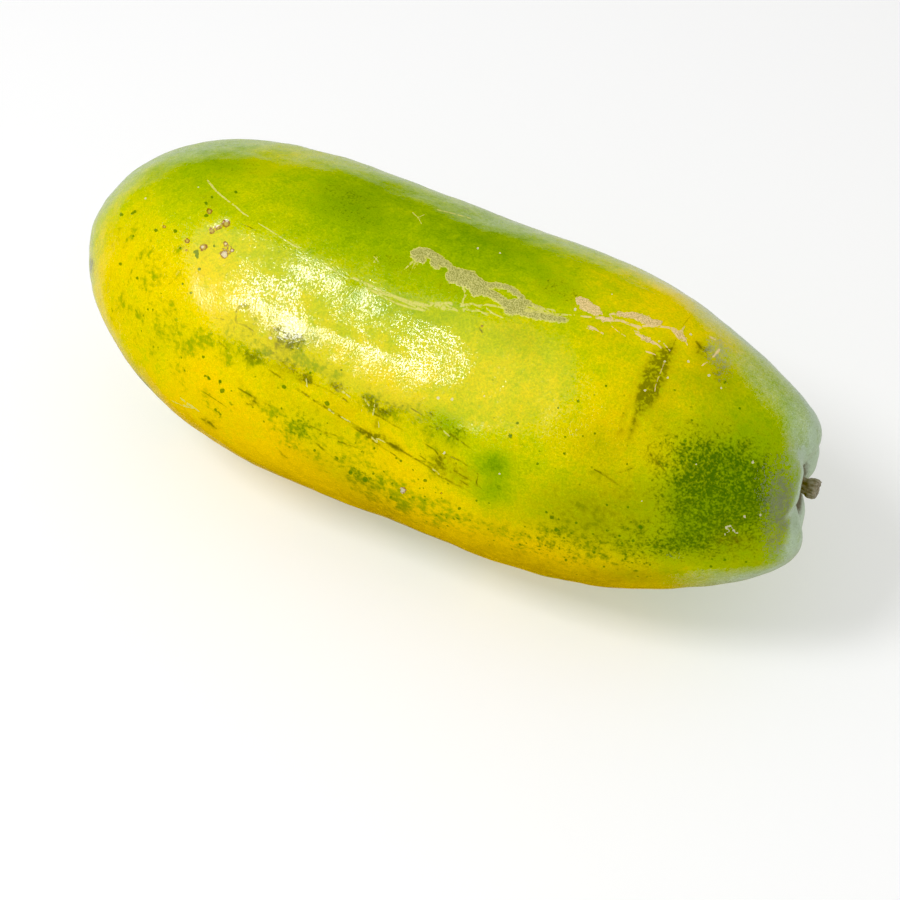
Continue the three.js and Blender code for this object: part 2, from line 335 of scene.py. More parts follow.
GREEN_SPOTS = [  # round green spots
    (121,214,19), (134,211,17), (131,213,13), (156,230,17), (175,231,19), (206,215,22), (120,264,17),
    (137,278,16), (183,284,12), (191,293,12), (199,269,18), (212,197,15), (206,203,16), (236,192,16),
    (133,236,12), (180,248,14), (196,252,26), (197,257,16), (214,246,14), (222,391,23), (284,387,20),
    (327,403.5,24), (203,357,13), (205,376,13), (400.5,461.5,15), (425,481,17), (392,484,11),
    (517,423,14), (476,501,13), (459,509,14), (310,373,13), (341,370,13), (315,450,14), (537,464,14),
    (546,513,13), (576,523,13), (607,505,13), (628,507,12), (640,527,21), (633,541,15), (622,544,13),
    (619,536,12), (556,530,19), (627,464,11), (685,441,16), (566,560,13), (594,553,13), (604,567,11),
    (625,560,12), (650,565,12), (711,567,15), (746,562,11), (725,560,13), (578,401,15), (606,386,12),
    (558,408,10), (740,408,12), (583,436,11), (565,437,10), (215,410,14), (220,415,12), (373,474,12),
    (350,473,20), (365,480,26), (391,497,13),
]
TENTH = 0.1
FAR_OFF = 50.0  # pixels outside, where no mark is near
FAR_ACROSS = 9.0  # and how many half widths


def choose(nearer, one, other):
    return np.where(nearer if one.ndim == 1 else nearer[:, None], one, other)


def nearest(marks, shown, start):
    """Of all the marks, the offset from the nearest one's middle and the pixels outside its edge."""
    outside = np.full(len(skin), FAR_OFF)
    for offset, edge in marks:
        nearer = edge < outside
        start = choose(nearer, offset, start)
        outside = np.where(nearer, edge, outside)
    return start, outside + FAR_OFF * (1 - shown)


def stroke_marks(strokes, where):
    """For each straight piece: the signed offset across it in half widths, and the pixels outside it."""
    for stroke in strokes:
        for (x0, y0, w0), (x1, y1, w1) in zip(stroke, stroke[1:]):
            run = np.array([x1 - x0, y1 - y0], float)
            rel = where - [x0, y0]
            f = np.clip(rel @ run / (run @ run), 0, 1)
            width = (w0 + (w1 - w0) * f) * TENTH
            away = rel - f[:, None] * run
            across = (rel[:, 0] * run[1] - rel[:, 1] * run[0]) / np.hypot(*run)
            yield across / width, np.hypot(*away.T) - width


def stroke_field(strokes, where=place, shown=seen):
    return nearest(stroke_marks(strokes, where), shown, np.full(len(skin), FAR_ACROSS))


def spot_field(spots, where=place, shown=seen):
    """The offset here is in radii, along the picture's two axes."""
    rels = ((where - [x, y], radius * TENTH) for x, y, radius in spots)
    marks = ((rel / radius, np.hypot(*rel.T) - radius) for rel, radius in rels)
    return nearest(marks, shown, np.full((len(skin), 2), FAR_ACROSS))


# The side turned away from the camera, laid out flat at the same pixels to the millimetre.
PX_PER_MM = 2.4
ROLL_RADIUS = 60.0
AWAY_ANGLES = (155, 320)  # degrees round from the top that its marks cover
AWAY_FADES = ((150, 160), (330, 318))
AWAY_REACH = 140.0
STRAY_HEADING = (0.1, 0.22)  # mean and spread in radians, and by how much it turns at each point
STRAY_BEND = 0.25
STRAY_WIDTH = (5, 11)
STRAY_TAPER = (0.7, 1.2)
STRAY_POINTS = (3, 6)
STRAY_STEP = (0.12, 0.4)
wrapped = np.stack([skin[:, 0], np.radians(turn_of) * ROLL_RADIUS], -1) * PX_PER_MM
away_side = (1 - seen) * smoothstep(*AWAY_FADES[0], turn_of) * smoothstep(*AWAY_FADES[1], turn_of)


def away_place(rng):
    """A random place on the side turned away."""
    along = rng.uniform(-AWAY_REACH, AWAY_REACH)
    return np.array([along, np.radians(rng.uniform(*AWAY_ANGLES)) * ROLL_RADIUS]) * PX_PER_MM


def stray_strokes(count, seed, longest):
    """Short bent strokes that run mostly along the fruit."""
    rng = np.random.default_rng(seed)
    strokes = []
    for _ in range(count):
        at = away_place(rng)
        heading = rng.normal(*STRAY_HEADING)
        width = rng.uniform(*STRAY_WIDTH)
        stroke = []
        for _ in range(rng.integers(*STRAY_POINTS)):
            stroke.append((at[0], at[1], width * rng.uniform(*STRAY_TAPER)))
            step = rng.uniform(*STRAY_STEP) * longest
            at = at + step * np.array([np.cos(heading), np.sin(heading)])
            heading += rng.normal(0, STRAY_BEND)
        strokes.append(stroke)
    return strokes


def stray_spots(count, seed, smallest, largest):
    rng = np.random.default_rng(seed)
    return [(*away_place(rng), rng.uniform(smallest, largest)) for _ in range(count)]


def with_away(field, near_marks, away_marks):
    """The field of the near side's marks, joined with the field of those on the side turned away."""
    value, outside = field(near_marks)
    other, other_outside = field(away_marks, wrapped, away_side)
    nearer = other_outside < outside
    return choose(nearer, other, value), np.where(nearer, other_outside, outside)


def blob_field(chains):
    """Pixels inside (positive) or outside (negative) a chain of discs."""
    return -stroke_field([c if len(c) > 1 else c * 2 for c in chains])[1]


# ---------------- patches of colour, in the same frame
# Each is a soft oval (x, y, half_x, half_y, percent), and its turn in degrees, clockwise, if slanted.
GREEN_PATCHES = [  # where the colour stays a step greener
    (495,464,16,14,100), (492,491,16,14,85), (448,425,22,12,50,35), (355,300,14,8,30,30),
]
DARK_PATCHES = [  # unripe green
    (716,478,50,42,80), (750,500,32,46,75), (704,520,38,26,60), (688,545,34,14,60), (704,450,38,13,40),
    (686,492,20,38,50), (664,548,16,10,30), (350,202,40,14,30,25), (392,262,26,10,35,15),
    (562,290,30,12,30,25), (455,290,30,12,20,20), (240,168,40,12,20), (300,428,24,16,20,30),
    (560,545,45,22,20,8), (635,545,36,26,20), (446,425,18,12,45,35), (365,478,30,12,20,20),
    (330,212,60,8,15,18), (500,245,70,8,15,22),
]
MOTTLE_PATCHES = [  # where green still mottles the yellow
    (145,262,14,26,30), (115,300,18,40,20), (150,300,40,50,40), (175,345,26,22,60), (215,345,40,14,60,30),
    (245,330,30,26,40), (270,360,40,14,62,20), (300,335,24,16,70,25), (330,375,40,14,80,30),
    (300,428,34,22,90,35), (260,405,30,12,55,35), (385,410,30,14,85,30), (440,430,34,18,90,35),
    (355,445,30,16,60,30), (370,480,44,16,80,25), (420,505,40,14,80,25), (440,470,26,14,50,30),
    (500,470,24,34,30,10), (560,530,44,22,80,10), (625,540,44,26,75), (580,500,40,24,40),
    (680,430,40,16,50), (650,480,30,30,45), (210,200,34,14,35,20), (190,245,30,26,35), (130,225,22,20,45),
    (560,430,30,16,35), (600,470,24,10,40), (200,400,40,12,50,40), (480,525,60,10,50,20),
    (720,380,16,20,50), (520,370,40,14,20,20),
]
STAIN_PATCHES = [  # rubbed and bruised places
    (656,370,12,26,100,28), (650,392,9,16,65,25), (644,406,8,18,40,25), (634,424,4,32,40,17),
    (622,424,3,28,30,15), (668,352,5,12,35,30), (716,360,15,26,40,-20), (702,350,9,8,40),
    (285,339,14,11,90,25), (300,338,6,8,50), (305,379,8,4,70,15), (292,370,24,8,50,32),
    (338,388,9,5,85,20), (372,403,12,8,60,30), (386,410,9,7,50), (378,424,5,8,50), (378,438,14,6,65,25),
    (396,448,10,5,55,35), (441,462,9,10,60,30), (253,402,8,6,50), (209,423,10,4,45,35), (245,307,8,5,50),
    (252,357,14,7,50,10), (455,475,22,10,40,32), (443,428,7,6,40), (400,405,8,6,30), (136,266,18,14,14),
    (116,240,12,16,16), (300,405,50,12,15,33), (255,330,20,14,20), (230,420,40,14,12,35),
    (390,505,40,12,30,20), (740,543,30,10,30), (470,470,12,12,20), (90,266,4,9,80), (420,270,10,6,10),
    (655,460,8,8,30),
]
SHADE_PATCHES = [  # a soft olive darkening without specks: partly the skin's own tone, partly painted shade along the underside
    (622,504,52,34,36), (560,508,52,28,24,10), (620,578,80,13,42,3), (362,490,40,16,32,30),
    (700,428,34,18,16), (730,388,36,30,16), (600,445,44,20,10), (310,458,40,14,12,34),
    (525,556,50,10,16,14), (440,528,50,10,14,26), (664,405,14,44,16,18), (640,400,26,40,10,20),
    (400,412,40,14,10,30), (580,540,70,20,14,8), (600,436,34,34,18), (700,378,20,26,18),
    (520,335,26,16,14,20), (606,330,26,14,12,20), (492,530,26,24,18,20), (344,412,28,18,18,30),
    (282,365,14,36,13), (730,542,22,22,18), (640,574,40,10,10),
]
SMOKE_PATCHES = [  # grey-purple scuffs near the stem
    (783,507,14,40,90,8), (770,487,16,26,40), (778,548,10,10,50), (718,350,14,12,34),
    (722,374,9,16,30,-20),
]
WAX_AND_SHEEN_PATCHES = [  # pale wax, and painted sheen along the edges where the white surroundings would be reflected
    (782,395,22,22,20,30), (750,362,30,14,30,45), (706,318,28,9,34,38), (815,440,7,40,50),
    (803,500,5,36,50,10), (806,416,22,46,42,14), (810,450,9,34,30), (799,500,6,40,50,12),
    (790,556,24,14,50,-40), (750,578,50,8,40,-8), (764,384,34,22,20,40), (798,530,8,30,60,15),
    (715,575,60,8,30,-4), (676,556,24,9,18), (795,450,8,40,30), (205,155,40,10,15,-10),
    (716,352,14,20,30,-20), (480,222,60,6,20,22),
]
DULL_PATCHES = [  # where the skin shines less, speck by speck, or more where the strength is below 0
    (360,322,130,62,50,27), (222,248,26,16,90,10), (262,252,24,9,80,20), (212,264,15,26,80),
    (235,325,22,14,90,20), (275,350,24,8,90,25), (335,374,40,8,70,26), (400,402,30,8,60,26),
    (505,350,26,34,100,30), (505,395,26,28,100), (466,324,26,9,100,38), (454,404,30,10,100,20),
    (476,399,17,16,100,-35), (474,336,14,12,70,45), (548,372,28,44,90,20), (238,280,18,16,25,10),
    (268,300,12,8,20,30), (425,312,30,7,100,22), (318,307,13,7,80,30), (343,331,24,5,40,28),
    (384,343,15,8,50,40), (272,271,15,7,50,5), (352,291,26,11,-60,36), (292,325,38,8,-40,33),
    (405,366,40,8,-12,25), (300,272,18,8,-30,30), (340,341,34,6,-30,24), (378,353,30,6,-30,24),
    (352,316,44,9,-12,27), (268,288,26,12,-4,20), (330,310,30,8,-10,28),
]
RIM_SHEEN_PATCHES = [  # painted sheen: a pale reflection of the white surroundings, painted where the skin turns away from the camera
    (812,435,34,60,70), (785,560,45,30,80,-20), (745,350,50,50,80,40), (670,290,60,30,35,35),
    (560,240,120,30,30,25), (400,180,120,40,25,20), (200,150,90,40,30,-10), (110,190,34,60,28,30),
    (720,585,50,20,40),
]
FRECKLE_PATCHES = [  # small green dots
    (560,545,48,26,100,8), (632,545,32,30,100), (300,425,34,26,50,25), (430,505,60,22,60,20),
    (215,385,50,30,40,30), (150,300,60,60,30), (690,560,60,16,50), (560,430,90,50,30,20),
    (400,470,90,30,40,25), (700,400,50,40,30),
]
# Ripeness from 0, dark green, to 100, orange-yellow; near values above 100 darken to ochre, painted shade
# along the underside. Near side: (x, y, ripeness) in the frame.
RIPE_AND_SHADE_NEAR = [
    (120,210,56), (112,192,45), (126,236,95), (120,290,80), (165,190,52), (205,160,22), (262,160,60),
    (300,190,42), (345,215,25), (395,235,40), (350,255,38), (338,292,62), (305,300,74), (450,240,28),
    (505,255,30), (560,275,40), (612,276,68), (650,284,84), (665,300,80), (715,330,76), (750,380,45),
    (790,430,36), (235,200,55), (265,235,60), (420,290,40), (180,300,85), (220,290,82), (150,340,72),
    (190,380,92), (240,425,95), (300,465,105), (370,490,100), (430,525,112), (500,548,115), (560,565,115),
    (620,580,110), (700,575,60), (200,430,100), (290,478,115), (390,520,120), (260,360,72), (320,370,78),
    (330,440,72), (400,400,80), (400,440,82), (450,410,64), (498,463,56), (492,492,56), (440,500,84),
    (500,400,80), (520,345,62), (560,335,58), (470,330,60), (560,430,80), (610,390,66), (645,330,68),
    (640,430,90), (690,350,88), (690,370,80), (700,420,52), (745,425,42), (545,480,56), (610,500,56),
    (600,440,76), (590,540,62), (650,545,60), (700,530,30), (740,545,55), (780,520,35),
]
# Far side and underneath: (share of the length, degrees round from the top, ripeness).
RIPE_FAR = [
    (0,0,62), (0.12,170,75), (0.12,250,50), (0.2,310,45), (0.3,200,70), (0.35,150,90), (0.35,260,35),
    (0.42,320,40), (0.5,170,85), (0.52,225,60), (0.6,290,55), (0.65,330,50), (0.66,150,80), (0.7,205,50),
    (0.78,250,35), (0.8,300,50), (0.86,190,45), (0.9,150,50), (0.93,250,30), (0.97,200,30), (0.97,320,34),
]
RIPE_SPREAD_MM = 14.0
WIDE_SPREAD = 4  # a second, wider spread fills what lies between the anchors
WIDE_WEIGHT = 1e-3
LENGTH_DEGREES = 300  # the length of the fruit counts as much as so many degrees round it
HIDDEN_PX = 40  # a point turned away from the camera counts as so much further off
HIDDEN_BELOW = 0.02


def patches(rows, near=True):
    """Sum of the soft ovals, limited to 0 to 1."""
    total = 0
    for x, y, half_x, half_y, percent, *turn in rows:
        a = np.radians(turn[0] if turn else 0)
        rel = place - [x, y]
        u = rel[:, 0] * np.cos(a) + rel[:, 1] * np.sin(a)
        v = -rel[:, 0] * np.sin(a) + rel[:, 1] * np.cos(a)
        total = total + percent * np.exp(-((u / half_x) ** 2) - (v / half_y) ** 2)
    return np.clip(total / 100 * (seen if near else 1), 0, 1)


def ripeness():
    """Smooth ripeness over the whole skin, from the anchors on the near and far sides; values above 1 are
    painted shade along the underside.
    """
    anchors, values = [], []
    for x, y, value in RIPE_AND_SHADE_NEAR:
        miss = np.hypot(*(place - [x, y]).T) + HIDDEN_PX * (facing < HIDDEN_BELOW)
        anchors.append(skin[miss.argmin()])
        values.append(value)
    share = np.concatenate([[0], (np.repeat(np.arange(STATIONS - 1), AROUND) + 1) / STATIONS, [1]])
    for at, angle, value in RIPE_FAR:
        miss = np.abs(share - at) * LENGTH_DEGREES + np.abs((turn_of - angle + 180) % 360 - 180)
        anchors.append(skin[miss.argmin()])
        values.append(value)
    weight_sum = np.zeros(len(skin))
    value_sum = np.zeros(len(skin))
    for anchor, value in zip(anchors, values):
        away = ((skin - anchor) ** 2).sum(1) / (2 * RIPE_SPREAD_MM**2)
        weight = np.exp(-away) + WIDE_WEIGHT * np.exp(-away / WIDE_SPREAD**2) + 1e-12
        weight_sum += weight
        value_sum += weight * value
    return value_sum / weight_sum / 100


def make_mesh(name, points_mm, faces):
    mesh = bpy.data.meshes.new(name)
    mesh.from_pydata((points_mm * MM).tolist(), [], faces)
    mesh.update()
    mesh.shade_smooth()
    obj = bpy.data.objects.new(name, mesh)
    bpy.context.collection.objects.link(obj)
    return obj


def store(obj, name, *values):
    """Keeps one number, or up to three, for each point, for the material to read."""
    kind, key = ("FLOAT", "value") if len(values) == 1 else ("FLOAT_VECTOR", "vector")
    if len(values) == 2:
        values = (*values, 0 * values[0])
    layer = obj.data.attributes.new(name, kind, "POINT")
    layer.data.foreach_set(key, np.stack(values, -1).astype(np.float32).ravel())


# ---------------- the skin's relief
WAVE_RANGE = (0.75, 1.4)  # shares of the wavelength asked for
WAVE_HEIGHT = 1.6  # the summed waves are divided by this, so that they stay near -1 to 1


def wave_noise(points, wave, seed, count=14):
    """Smooth bumps of about the wavelength given, in mm, from summed sine waves; about -1 to 1."""
    rng = np.random.default_rng(seed)
    total = np.zeros(len(points))
    for _ in range(count):
        direction = rng.normal(size=3)
        direction /= np.linalg.norm(direction)
        total += np.sin(points @ direction * TURN / (wave * rng.uniform(*WAVE_RANGE)) + rng.uniform(0, TURN))
    return total / np.sqrt(count / 2) / WAVE_HEIGHT


SKIN_WAVES = ((0.22, 30, 1), (0.1, 13, 2), (0.035, 5.5, 3))  # height and wavelength in mm, and seed
CORK_RELIEF = 0.28
CORK_CRUMB = (3.5, 4)  # wavelength and seed
CRUMB_HEIGHT = 0.4
PINK_RELIEF = 0.18
SPOT_DEPTH = 0.25
RELIEF_TOP = 0.45
SET_IN = 0.15  # the dressed skin lies this far inside the solid's
FLAT_FADE = 6.0  # mm above the floor over which the relief comes in
FLOOR_GAP = 0.02
UNDERSIDE_SHADE_REACH = 4.5  # painted shade: the dark ring reaches further on the underside of the hollow
SHADED_SIDE = 195
BELOW_HOLLOW = 30.0  # from so far under the floor of the hollow, nothing counts as near the stem
NOT_NEAR = 200.0

# What the stored densities are made of.
GREEN_STEP = 0.36  # how much less ripe the greener patches are
AWAY_STAIN = (24, 33)  # wavelength in mm and seed, as in the next ones
AWAY_MOTTLE = (60, 32)
CAP_WAVE = (32, 31)
CAP_UNEVEN = 9.0
CAP_EDGE = (52, 14)  # mm from the stalk's axis
CAP_SHEEN_FACING = (0.55, 0.1)
CAP_STRENGTH = 0.7
RIM_SHEEN_FACING = ((0.5, 0.02), (-0.9, 0.0))
CREST_HIGHLIGHT_STRENGTH = 0.5
MOTTLE_STRENGTH = 0.75
AWAY_FRECKLE = 0.3
DULL_LEAST = 0.2
AWAY_DULL = 0.2

cork = blob_field(CORK)
cork_hole = blob_field([[h] for h in CORK_HOLES])
pink = blob_field(PINK_CORK)
thread, thread_out = with_away(stroke_field, THREADS, stray_strokes(9, 21, 26))
scratch, scratch_out = with_away(stroke_field, SCRATCHES, stray_strokes(34, 22, 34))
spots = {
    "ringed": with_away(spot_field, RINGED_SPOTS, stray_spots(7, 23, 14, 32)),
    "pale": with_away(spot_field, PALE_SPOTS, stray_spots(26, 24, 9, 17)),
    "green": with_away(spot_field, GREEN_SPOTS, stray_spots(60, 25, 11, 22)),
}
# Distance from the stalk's axis in the hollow, and from the blossom tip, in mm.
near_stem = np.hypot(*(skin - foot)[:, 1:].T) + NOT_NEAR * (skin[:, 0] < foot[0] - BELOW_HOLLOW)
near_tip = np.linalg.norm(skin - skin[0], axis=1)

relief = sum(height * wave_noise(skin, wave, seed) for height, wave, seed in SKIN_WAVES)
on_cork = smoothstep(-1, 1.5, cork) * (1 - smoothstep(-1, 1, cork_hole))
relief += CORK_RELIEF * on_cork * (1 + CRUMB_HEIGHT * wave_noise(skin, *CORK_CRUMB))
relief += PINK_RELIEF * smoothstep(-1, 1.5, pink)
relief -= SPOT_DEPTH * smoothstep(2.0, 0.0, spots["ringed"][1])
away_from_flat = smoothstep(0, FLAT_FADE, skin[:, 2])
skin = skin + normals * (np.minimum(relief, RELIEF_TOP) * away_from_flat - SET_IN)[:, None]
skin[:, 2] = np.maximum(skin[:, 2], FLOOR_GAP)

fruit = make_mesh("papaya_skin", skin, tube_faces(1, STATIONS - 1, AROUND, 0, len(skin) - 1))
store(fruit, "ripe_and_shade", ripeness() - GREEN_STEP * patches(GREEN_PATCHES))
for kind, rows in (("dark", DARK_PATCHES), ("shade", SHADE_PATCHES), ("smoke", SMOKE_PATCHES)):
    store(fruit, kind, patches(rows))
away_stain = np.clip(wave_noise(skin * [0.5, 1, 1], *AWAY_STAIN) - 0.75, 0, 0.45) * (1 - seen)
store(fruit, "stain", patches(STAIN_PATCHES) + away_stain)
# Painted sheen along the edges that turn away from the camera.
turned_away = smoothstep(*RIM_SHEEN_FACING[0], facing) * smoothstep(*RIM_SHEEN_FACING[1], facing)
rim_sheen = patches(RIM_SHEEN_PATCHES, near=False) * turned_away
# Pale wax on the stem end, with painted sheen that grows where the skin turns away from the camera.
cap_edge = near_stem + CAP_UNEVEN * wave_noise(skin, *CAP_WAVE)
wax_and_sheen_cap = CAP_STRENGTH * smoothstep(*CAP_EDGE, cap_edge) * smoothstep(*CAP_SHEEN_FACING, facing)
# Painted highlight along the shoulder's crest.
crest = CREST_HIGHLIGHT_STRENGTH * smoothstep(-2.5, 1.5, blob_field(CREST_HIGHLIGHT))
store(fruit, "wax_and_sheen", np.clip(patches(WAX_AND_SHEEN_PATCHES) + np.maximum(rim_sheen, wax_and_sheen_cap) + crest, 0, 1))
store(fruit, "dull", np.clip(patches(DULL_PATCHES) + DULL_LEAST + AWAY_DULL * (1 - seen), 0, 1))
away_mottle = np.clip(0.35 + 0.45 * wave_noise(skin, *AWAY_MOTTLE), 0.1, 0.9) * (1 - seen)
store(fruit, "mottle", MOTTLE_STRENGTH * patches(MOTTLE_PATCHES) + away_mottle)
store(fruit, "freckle", patches(FRECKLE_PATCHES) + AWAY_FRECKLE * (1 - seen))
store(fruit, "cork", cork, -cork_hole, pink)
store(fruit, "thread", thread, thread_out, place[:, 0])
store(fruit, "scratch", scratch, scratch_out)
for kind, (offset, outside) in spots.items():
    store(fruit, kind, *offset.T, outside)
shaded_side = UNDERSIDE_SHADE_REACH * np.clip(np.cos(np.radians(turn_of - SHADED_SIDE)), 0, 1)
store(fruit, "ends", near_stem - shaded_side, near_tip)


# ---------------- materials
class Nodes:
    """Short names for building a node tree."""

    def __init__(self, tree):
        self.tree = tree

    def add(self, kind, **settings):
        node = self.tree.nodes.new(kind)
        for key, value in settings.items():
            setattr(node, key, value)
        return node

    def plug(self, socket, value):
        if isinstance(value, bpy.types.NodeSocket):
            self.tree.links.new(value, socket)
        else:
            socket.default_value = value

    def math(self, operation, *values):
        node = self.add("ShaderNodeMath", operation=operation)
        for socket, value in zip(node.inputs, values):
            self.plug(socket, value)
        return node.outputs[0]

    def chain(self, operation, first, *more):
        for value in more:
            first = self.math(operation, first, value)
        return first

    def plus(self, *values):
        return self.chain("ADD", *values)

    def times(self, *values):
        return self.chain("MULTIPLY", *values)

    def largest(self, *values):
        return self.chain("MAXIMUM", *values)

    def raised(self, value, gain, base):
        """The value times the gain, added to the base."""
        return self.math("MULTIPLY_ADD", value, gain, base)

    def step(self, lo, hi, value):
        """0 below lo, 1 above hi, smooth between; lo may be above hi."""
        node = self.add("ShaderNodeMapRange", interpolation_type="SMOOTHSTEP")
        flip = lo > hi
        for socket, number in zip(node.inputs[1:5], (min(lo, hi), max(lo, hi), float(flip), float(not flip))):
            socket.default_value = number
        self.plug(node.inputs[0], value)
        return node.outputs[0]

    def mix(self, amount, a, b):
        node = self.add("ShaderNodeMix", data_type="RGBA", clamp_factor=True)
        self.plug(node.inputs[0], amount)
        for socket, colour in ((node.inputs[6], a), (node.inputs[7], b)):
            self.plug(socket, colour if isinstance(colour, bpy.types.NodeSocket) else (*colour, 1))
        return node.outputs[2]

    def read(self, name):
        """The one number stored under that name."""
        return self.add("ShaderNodeAttribute", attribute_name=name).outputs["Fac"]

    def split(self, vector):
        node = self.add("ShaderNodeSeparateXYZ")
        self.plug(node.inputs[0], vector)
        return node.outputs

    def parts(self, name):
        """The three numbers stored under that name."""
        return self.split(self.add("ShaderNodeAttribute", attribute_name=name).outputs["Vector"])

    def noise(self, scale, detail=2.0, stretch=None, rough=0.5):
        """Noise over the object's own coordinates, about 0.5; scale in waves per metre."""
        where = self.add("ShaderNodeTexCoord").outputs["Object"]
        if stretch:
            mapped = self.add("ShaderNodeMapping")
            mapped.inputs["Scale"].default_value = stretch
            self.plug(mapped.inputs[0], where)
            where = mapped.outputs[0]
        node = self.add("ShaderNodeTexNoise")
        for socket, value in (("Vector", where), ("Scale", scale), ("Detail", detail), ("Roughness", rough)):
            self.plug(node.inputs[socket], value)
        return node.outputs["Fac"]

    def swing(self, noises, gains):
        """Sum of the named noises, each moved to swing about 0 and scaled by its gain."""
        terms = [self.raised(noises[name], gain, -0.5 * gain) for name, gain in gains.items()]
        return self.plus(*terms)

    def cells(self, scale):
        """Distance to the nearest of scattered points, in cells, and a random number for that point."""
        node = self.add("ShaderNodeTexVoronoi")
        self.plug(node.inputs["Vector"], self.add("ShaderNodeTexCoord").outputs["Object"])
        self.plug(node.inputs["Scale"], scale)
        pick = self.add("ShaderNodeSeparateColor")
        self.plug(pick.inputs[0], node.outputs["Color"])
        return node.outputs["Distance"], pick.outputs[0]

    def ramp(self, value, stops):
        node = self.add("ShaderNodeValToRGB")
        elements = node.color_ramp.elements
        while len(elements) < len(stops):
            elements.new(0.5)
        for element, (at, colour) in zip(elements, stops):
            element.position = at
            element.color = (*colour, 1)
        self.plug(node.inputs[0], value)
        return node.outputs[0]

    def bump(self, height, strength, depth_mm):
        node = self.add("ShaderNodeBump")
        for socket, value in (("Strength", strength), ("Distance", depth_mm * MM), ("Height", height)):
            self.plug(node.inputs[socket], value)
        return node.outputs[0]


def material(name, paint):
    """A material whose principled shader takes the values that paint gives for its sockets."""
    made = bpy.data.materials.new(name)
    made.use_nodes = True
    made.node_tree.nodes.clear()
    n = Nodes(made.node_tree)
    shader = n.add("ShaderNodeBsdfPrincipled")
    n.plug(n.add("ShaderNodeOutputMaterial").inputs[0], shader.outputs[0])
    for socket, value in paint(n).items():
        n.plug(shader.inputs[socket], value)
    return made


RIPENESS_TOP = 1.3
RIPENESS_AND_SHADE_COLOURS = [
    (0.0, (0.060, 0.145, 0.001)),
    (0.2, (0.17, 0.30, 0.001)),
    (0.4, (0.29, 0.41, 0.001)),
    (0.6, (0.47, 0.51, 0.001)),
    (0.8, (0.73, 0.585, 0.001)),
    (1.0, (0.83, 0.555, 0.001)),
    # above full ripeness, a darker ochre: painted shade for the underside
    (1.3, (0.50, 0.33, 0.001)),
]
DARK_GREEN = (0.038, 0.112, 0.001)
MOTTLE_GREEN = (0.27, 0.34, 0.001)
FRECKLE_GREEN = (0.06, 0.165, 0.003)
STAIN_AND_SHADE_OLIVE = (0.15, 0.15, 0.004)
SCRATCH_OLIVE = (0.115, 0.11, 0.012)
SMOKE_GREY = (0.18, 0.20, 0.145)
# pale wax, also the colour of the painted sheen and crest highlight
WAX_AND_SHEEN_PALE = (0.44, 0.55, 0.40)
CORK_TAN = (0.53, 0.49, 0.17)
CORK_SHADE = (0.27, 0.26, 0.06)
CORK_EDGE = (0.62, 0.58, 0.14)
CORK_PINK = (0.78, 0.57, 0.29)
PINK_SHADE = (0.50, 0.36, 0.14)
RING_BROWN = (0.24, 0.08, 0.01)
SPOT_BROWN = (0.42, 0.25, 0.08)
SPOT_PALE = (0.70, 0.64, 0.46)
SOCKET_BROWN_AND_SHADE = (0.085, 0.05, 0.05)
TIP_BROWN = (0.16, 0.10, 0.05)
STALK_COLOURS = [
    (0.28, (0.075, 0.055, 0.052)),
    (0.44, (0.21, 0.18, 0.145)),
    (0.58, (0.36, 0.33, 0.27)),
    (0.78, (0.52, 0.46, 0.42)),
]
STALK_RUST = (0.42, 0.24, 0.12)

# Waves per metre and detail of the skin's noises, and how far each swings what it breaks up.
NOISES = {"wide": (38, 3), "middle": (140, 3), "fine": (520, 3), "grain": (1100, 2), "speck": (2300, 1)}
RIPE_SWING = {"wide": 0.2, "middle": 0.34, "fine": 0.26, "grain": 0.22}
RAGGED_SWING = {"grain": 1.6, "fine": 2.4}
STAIN_SWING = {"middle": 1.6, "fine": 3.4, "grain": 2.2}
# Layers that noise breaks up: colour, strength, share of the stored density, swing, and the steps
# that the broken value and the density itself go through.
LAYERS = {
    "mottle": (MOTTLE_GREEN, 0.95, 1.0, {"middle": 2.2, "fine": 1.7, "grain": 1.0}, (0.2, 1.1), (0.0, 0.3)),
    "dark": (DARK_GREEN, 0.95, 0.88, {"middle": 0.7, "fine": 1.4, "grain": 2.2}, (0.0, 1.2), (0.02, 0.2)),
    "smoke": (SMOKE_GREY, 0.9, 0.85, {"fine": 1.6, "speck": 2.4}, (0.0, 1.1), (0.0, 0.2)),
    "wax_and_sheen": (WAX_AND_SHEEN_PALE, 1.0, 1.0, {"fine": 0.5, "speck": 0.6}, (0.0, 1.1), (0.0, 0.25)),
}
FRECKLES = ((190, 0.22, 0.9), (400, 0.24, 0.8))  # cells per metre, radius in cells, strength
PINK_FROM = (570, 600)  # x in the frame where the threads turn pinkish
SPOT_EDGE = (1.15, 0.8)  # in radii
SPOT_REACH = (2.2, 1.0)  # in pixels
SCAR_EDGE = (-0.7, 0.5)
DRY_AND_SHADED_FLOOR = (12.0, 6.0)  # mm from the stalk's axis, and from the blossom tip
DRY_TIP = (6.5, 3.0)
DRY_UNEVEN = 2.0
GLOSS_ROUGHNESS = 0.17
DULL_ROUGHNESS = 0.79
SCAR_ROUGHNESS = 0.7
SKIN_SPECULAR = 0.24
PIT_DEPTH_MM = 0.08


class Paint:
    """A colour that takes one coat after another."""

    def __init__(self, n, colour):
        self.n, self.colour = n, colour

    def coat(self, where, strength, colour):
        self.colour = self.n.mix(self.n.times(where, strength), self.colour, colour)

    def layer(self, name, noises):
        """The coat of that name in LAYERS; gives where it lies."""
        colour, strength, share, gains, broken_step, density_step = LAYERS[name]
        density = self.n.read(name)
        broken = self.n.raised(density, share, self.n.swing(noises, gains))
        where = self.n.times(self.n.step(*broken_step, broken), self.n.step(*density_step, density))
        self.coat(where, strength, colour)
        return where


